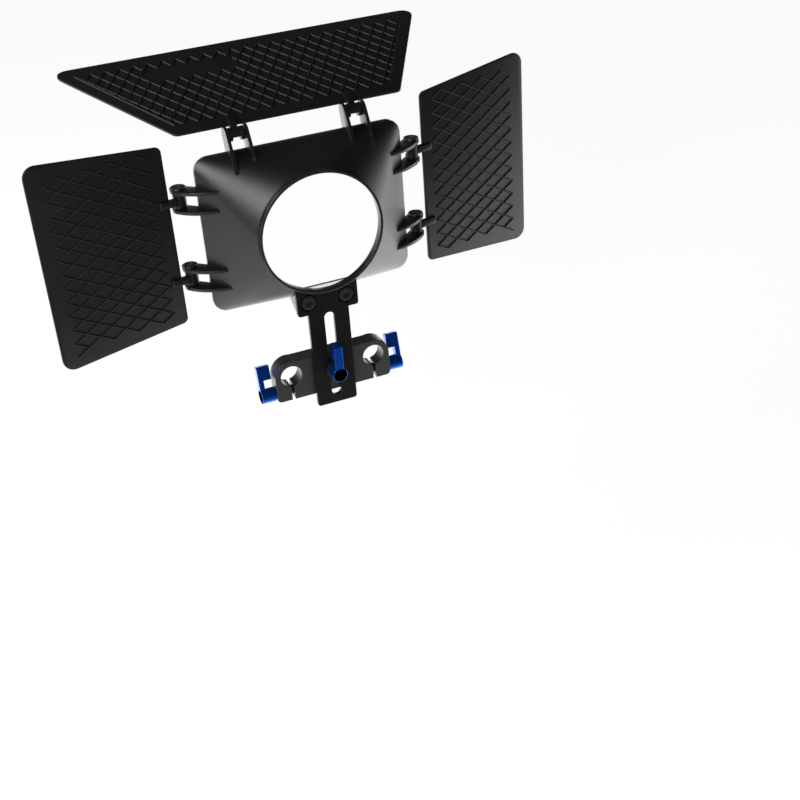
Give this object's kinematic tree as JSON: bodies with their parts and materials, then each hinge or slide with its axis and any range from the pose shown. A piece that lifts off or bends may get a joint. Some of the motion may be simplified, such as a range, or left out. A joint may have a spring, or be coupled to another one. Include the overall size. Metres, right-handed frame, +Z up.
{
  "type": "matte box",
  "caption": "Rod-mounted matte box: a square-to-round lens hood with hinged top and side flags on a height-adjustable slotted bracket and a two-rod clamp with lock levers.",
  "frame": {"origin": "centre of the rod clamp's front face, midway between the two rod axes", "axes": "+Y along the rods and the lens axis, towards the scene being filmed; +X to the operator's right, across the two rods; +Z up"},
  "size_m": [0.3487, 0.1533, 0.2189],
  "materials": {
    "hood_plastic": "satin moulded black",
    "flag_plastic": "matt moulded black with a raised diamond lattice",
    "bracket_metal": "matt black anodised",
    "clamp_metal": "satin black anodised",
    "lever_metal": "deep blue anodised",
    "screw_steel": "black oxide"
  },
  "bodies": {
    "clamp": {"rod_clamp": "clamp_metal", "height_lock_washer": "screw_steel"},
    "carriage": {"hood": "hood_plastic", "bracket_plate": "bracket_metal", "bracket_screw_left": "screw_steel", "bracket_screw_right": "screw_steel", "hinge_screw_left_upper": "screw_steel", "hinge_screw_left_lower": "screw_steel", "hinge_screw_right_upper": "screw_steel", "hinge_screw_right_lower": "screw_steel", "hinge_screw_top_left": "screw_steel", "hinge_screw_top_right": "screw_steel"},
    "height_lock": {"height_lock_lever": "lever_metal", "height_lock_screw": "screw_steel"},
    "rod_lock_left": {"rod_lock_lever_left": "lever_metal", "rod_lock_screw_left": "screw_steel"},
    "rod_lock_right": {"rod_lock_lever_right": "lever_metal", "rod_lock_screw_right": "screw_steel"},
    "top_shade": {"top_flag": "flag_plastic"},
    "left_shade": {"left_flag": "flag_plastic"},
    "right_shade": {"right_flag": "flag_plastic"}
  },
  "joints": [
    {"name": "height_slide", "type": "slide", "parent": "clamp", "child": "carriage", "axis": [0, 0, 1], "range_m": [-0.033, 0.017]},
    {"name": "height_lock_turn", "type": "hinge", "parent": "clamp", "child": "height_lock", "pos_m": [0, -0.0148, 0], "axis": [0, -1, 0], "range_deg": [0, 60]},
    {"name": "rod_lock_left_turn", "type": "hinge", "parent": "clamp", "child": "rod_lock_left", "pos_m": [-0.0416, -0.00575, -0.0129], "axis": [-1, 0, 0], "range_deg": [0, 90]},
    {"name": "rod_lock_right_turn", "type": "hinge", "parent": "clamp", "child": "rod_lock_right", "pos_m": [0.0416, -0.00575, -0.0129], "axis": [1, 0, 0], "range_deg": [0, 90]},
    {"name": "top_flag_hinge", "type": "hinge", "parent": "carriage", "child": "top_shade", "pos_m": [0, 0.015, 0.1662], "axis": [1, 0, 0], "range_deg": [-4, 84]},
    {"name": "left_flag_hinge", "type": "hinge", "parent": "carriage", "child": "left_shade", "pos_m": [-0.0804, 0.0193, 0.102], "axis": [0, 0, -1], "range_deg": [-21, 108]},
    {"name": "right_flag_hinge", "type": "hinge", "parent": "carriage", "child": "right_shade", "pos_m": [0.0804, 0.0193, 0.102], "axis": [0, 0, 1], "range_deg": [-42, 87]}
  ]
}
